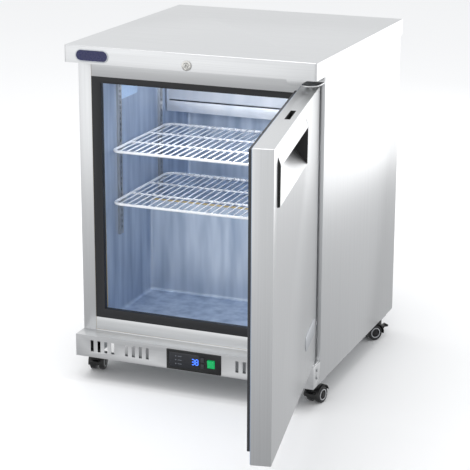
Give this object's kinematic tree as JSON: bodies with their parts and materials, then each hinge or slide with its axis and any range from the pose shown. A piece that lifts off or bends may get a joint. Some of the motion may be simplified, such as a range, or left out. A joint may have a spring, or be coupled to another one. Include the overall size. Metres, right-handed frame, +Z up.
{
  "type": "undercounter refrigerator",
  "caption": "Low steel refrigerator on castors with a worktop lid, a hinged door with a recessed pull, wire shelves, a cam lock, a vented kick grille with controls and a rear machine bay.",
  "frame": {"origin": "centre of the worktop's top face", "axes": "+Z up, +Y towards the back of the cabinet, +X towards the hinge side; the door is stored open at 101 degrees"},
  "size_m": [0.7208, 1.2031, 0.82],
  "materials": {
    "stainless": "brushed stainless sheet",
    "liner_metal": "satin clear-coated sheet",
    "galvanised": "dull zinc-coated sheet",
    "breaker": "dark extruded frame",
    "foam": "rigid foam",
    "white_coat": "white coated wire",
    "clip_metal": "plain pressed steel",
    "cover_panel": "satin grey panel",
    "fin_stack": "plain fins",
    "motor_case": "semi-gloss black",
    "fan_plastic": "moulded",
    "copper": "plain copper tube",
    "bezel": "moulded black",
    "smoked_window": "smoked window",
    "keys": "moulded key",
    "rocker": "green translucent rocker",
    "lock_metal": "plated",
    "plate": "blank printed plate",
    "badge": "blank plate",
    "gasket": "flexible magnetic seal",
    "bush": "moulded bearing plastic",
    "end_cap": "moulded black",
    "castor_black": "moulded black",
    "wheel": "hard twin wheel",
    "screw_metal": "zinc plated",
    "gland": "black gland"
  },
  "bodies": {
    "cabinet": {"worktop": "stainless", "side_panel_left": "stainless", "side_panel_right": "stainless", "front_rails": "stainless", "breaker_frame": "breaker", "insulation": "foam", "liner": "liner_metal", "base_pan": "galvanised", "base_rails": "galvanised", "machine_tray": "galvanised", "back_panel": "galvanised", "rear_grille": "galvanised", "cable_gland": "gland", "shelf_uprights": "clip_metal", "shelf_clips": "clip_metal", "evaporator_cover": "cover_panel", "evaporator_coil": "fin_stack", "evaporator_fan_motor": "motor_case", "compressor": "motor_case", "condenser_coil": "fin_stack", "condenser_fan_motor": "motor_case", "refrigerant_tubes": "copper", "front_grille": "stainless", "controller_bezel": "bezel", "display_window": "smoked_window", "lock_barrel": "lock_metal", "name_plate": "plate", "top_hinge": "stainless", "bottom_hinge": "stainless", "castor_plates": "clip_metal", "screws": "screw_metal"},
    "door": {"door_skin": "stainless", "door_inner_panel": "liner_metal", "door_foam": "foam", "door_gasket": "gasket", "hinge_bushes": "bush", "handle_shell": "stainless", "handle_end_caps": "end_cap", "door_badge": "badge"},
    "lock": {"lock_plug": "lock_metal", "lock_cam": "clip_metal"},
    "upper_shelf": {"shelf_upper": "white_coat"},
    "lower_shelf": {"shelf_lower": "white_coat"},
    "cooling_fan": {"evaporator_fan": "fan_plastic"},
    "bay_fan": {"condenser_fan": "fan_plastic"},
    "up_key": {"key_up": "keys"},
    "down_key": {"key_down": "keys"},
    "power_rocker": {"rocker_switch": "rocker"},
    "castor_front_left": {"castor_hood_front_left": "castor_black"},
    "wheels_front_left": {"castor_wheels_front_left": "wheel"},
    "brake_front_left": {"castor_brake_front_left": "castor_black"},
    "castor_front_right": {"castor_hood_front_right": "castor_black"},
    "wheels_front_right": {"castor_wheels_front_right": "wheel"},
    "brake_front_right": {"castor_brake_front_right": "castor_black"},
    "castor_rear_left": {"castor_hood_rear_left": "castor_black"},
    "wheels_rear_left": {"castor_wheels_rear_left": "wheel"},
    "brake_rear_left": {"castor_brake_rear_left": "castor_black"},
    "castor_rear_right": {"castor_hood_rear_right": "castor_black"},
    "wheels_rear_right": {"castor_wheels_rear_right": "wheel"},
    "brake_rear_right": {"castor_brake_rear_right": "castor_black"}
  },
  "joints": [
    {"name": "door_hinge", "type": "hinge", "parent": "cabinet", "child": "door", "pos_m": [0.281, -0.297, -0.38], "axis": [0, 0, 1], "range_deg": [-101, 14]},
    {"name": "lock_turn", "type": "hinge", "parent": "cabinet", "child": "lock", "pos_m": [0, -0.32, -0.027], "axis": [0, 1, 0], "range_deg": [0, 90]},
    {"name": "upper_shelf_lift", "type": "slide", "parent": "cabinet", "child": "upper_shelf", "axis": [0, 0, 1], "range_m": [0, 0.03]},
    {"name": "lower_shelf_lift", "type": "slide", "parent": "cabinet", "child": "lower_shelf", "axis": [0, 0, 1], "range_m": [0, 0.03]},
    {"name": "cooling_fan_spin", "type": "hinge", "parent": "cabinet", "child": "cooling_fan", "pos_m": [0.13, 0.179, -0.228], "axis": [0, 0, 1], "continuous": true},
    {"name": "bay_fan_spin", "type": "hinge", "parent": "cabinet", "child": "bay_fan", "pos_m": [0.1418, 0.146, -0.652], "axis": [0, 1, 0], "continuous": true},
    {"name": "up_key_press", "type": "slide", "parent": "cabinet", "child": "up_key", "axis": [0, 1, 0], "range_m": [0, 0.0012], "stiffness_N_per_m": 300},
    {"name": "down_key_press", "type": "slide", "parent": "cabinet", "child": "down_key", "axis": [0, 1, 0], "range_m": [0, 0.0012], "stiffness_N_per_m": 300},
    {"name": "power_rocker_tip", "type": "hinge", "parent": "cabinet", "child": "power_rocker", "pos_m": [0.05, -0.3073, -0.7342], "axis": [1, 0, 0], "range_deg": [-16, 0]},
    {"name": "castor_front_left_swivel", "type": "hinge", "parent": "cabinet", "child": "castor_front_left", "pos_m": [-0.2815, -0.238, -0.765], "axis": [0, 0, 1], "continuous": true},
    {"name": "wheels_front_left_roll", "type": "hinge", "parent": "castor_front_left", "child": "wheels_front_left", "pos_m": [-0.28303, -0.22711, -0.7995], "axis": [0.9903, 0.1392, 0], "continuous": true},
    {"name": "brake_front_left_press", "type": "hinge", "parent": "castor_front_left", "child": "brake_front_left", "pos_m": [-0.27918, -0.25454, -0.7905], "axis": [0.9903, 0.1392, 0], "range_deg": [0, 15]},
    {"name": "castor_front_right_swivel", "type": "hinge", "parent": "cabinet", "child": "castor_front_right", "pos_m": [0.2815, -0.238, -0.765], "axis": [0, 0, 1], "continuous": true},
    {"name": "wheels_front_right_roll", "type": "hinge", "parent": "castor_front_right", "child": "wheels_front_right", "pos_m": [0.28416, -0.22733, -0.7995], "axis": [0.9703, -0.2419, 0], "continuous": true},
    {"name": "brake_front_right_press", "type": "hinge", "parent": "castor_front_right", "child": "brake_front_right", "pos_m": [0.27746, -0.2542, -0.7905], "axis": [0.9703, -0.2419, 0], "range_deg": [0, 15]},
    {"name": "castor_rear_left_swivel", "type": "hinge", "parent": "cabinet", "child": "castor_rear_left", "pos_m": [-0.2815, 0.244, -0.765], "axis": [0, 0, 1], "continuous": true},
    {"name": "wheels_rear_left_roll", "type": "hinge", "parent": "castor_rear_left", "child": "wheels_rear_left", "pos_m": [-0.28526, 0.23366, -0.7995], "axis": [-0.9397, 0.342, 0], "continuous": true},
    {"name": "brake_rear_left_press", "type": "hinge", "parent": "castor_rear_left", "child": "brake_rear_left", "pos_m": [-0.27579, 0.25969, -0.7905], "axis": [-0.9397, 0.342, 0], "range_deg": [0, 15]},
    {"name": "castor_rear_right_swivel", "type": "hinge", "parent": "cabinet", "child": "castor_rear_right", "pos_m": [0.2815, 0.244, -0.765], "axis": [0, 0, 1], "continuous": true},
    {"name": "wheels_rear_right_roll", "type": "hinge", "parent": "castor_rear_right", "child": "wheels_rear_right", "pos_m": [0.27443, 0.23557, -0.7995], "axis": [-0.766, 0.6428, 0], "continuous": true},
    {"name": "brake_rear_right_press", "type": "hinge", "parent": "castor_rear_right", "child": "brake_rear_right", "pos_m": [0.29223, 0.25679, -0.7905], "axis": [-0.766, 0.6428, 0], "range_deg": [0, 15]}
  ]
}
